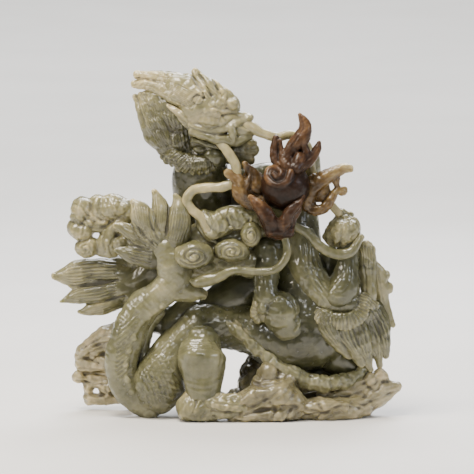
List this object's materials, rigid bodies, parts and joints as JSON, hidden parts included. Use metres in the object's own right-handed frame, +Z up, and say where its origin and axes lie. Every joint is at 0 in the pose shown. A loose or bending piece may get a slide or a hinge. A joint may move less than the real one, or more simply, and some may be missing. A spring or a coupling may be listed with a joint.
{
  "type": "jade dragon figurine",
  "caption": "Free-standing carved jade dragon coiled over rocks and clouds, reaching a raised claw towards a flaming pearl.",
  "frame": {"origin": "on the ground plane, under the middle of the bounding box", "axes": "+Z up; +X to the right as seen from the front; the carved front faces -Y; Y is the thin direction, from front to back"},
  "size_m": [0.1771, 0.0577, 0.1753],
  "materials": {
    "celadon_jade": "polished",
    "pale_jade": "polished",
    "russet_skin": "gloss",
    "amber_skin": "gloss",
    "weathered_jade": "satin"
  },
  "bodies": {
    "root": {"belly": "celadon_jade", "haunch": "celadon_jade", "back_arch": "celadon_jade", "neck": "celadon_jade", "tail_root": "celadon_jade", "near_thigh": "celadon_jade", "tail_outer_band": "celadon_jade", "tail_rising_band": "celadon_jade", "tail_tuft": "pale_jade", "flank_plume": "pale_jade", "plume_stem": "celadon_jade", "near_hind_foot": "celadon_jade", "far_hind_leg": "celadon_jade", "head": "pale_jade", "brow_crest": "pale_jade", "upper_horn": "pale_jade", "lower_horn": "pale_jade", "mane": "pale_jade", "lower_jaw": "pale_jade", "jaw_ruff": "pale_jade", "cloud_bank": "celadon_jade", "upper_left_cloud": "celadon_jade", "lower_left_cloud_curl": "weathered_jade", "lower_left_cloud_foot": "weathered_jade", "raised_upper_arm": "celadon_jade", "raised_forearm": "celadon_jade", "raised_fist": "pale_jade", "elbow_ruff": "pale_jade", "elbow_plume": "pale_jade", "side_leaf": "pale_jade", "side_streamer": "pale_jade", "near_foreleg": "celadon_jade", "foreleg_cuff": "pale_jade", "belly_plates": "pale_jade", "flaming_pearl": "russet_skin", "pearl_base_flames": "russet_skin", "crown_flames": "russet_skin", "left_flame_wing": "amber_skin", "right_flame_wing": "amber_skin", "upper_whisker": "pale_jade", "lower_whisker": "pale_jade", "lower_ribbon": "pale_jade", "right_ribbon": "pale_jade", "front_rock": "weathered_jade", "right_rock": "weathered_jade", "back_rock": "weathered_jade", "left_scroll_cloud": "pale_jade", "middle_scroll_cloud": "pale_jade", "right_scroll_cloud": "pale_jade"}
  },
  "joints": []
}
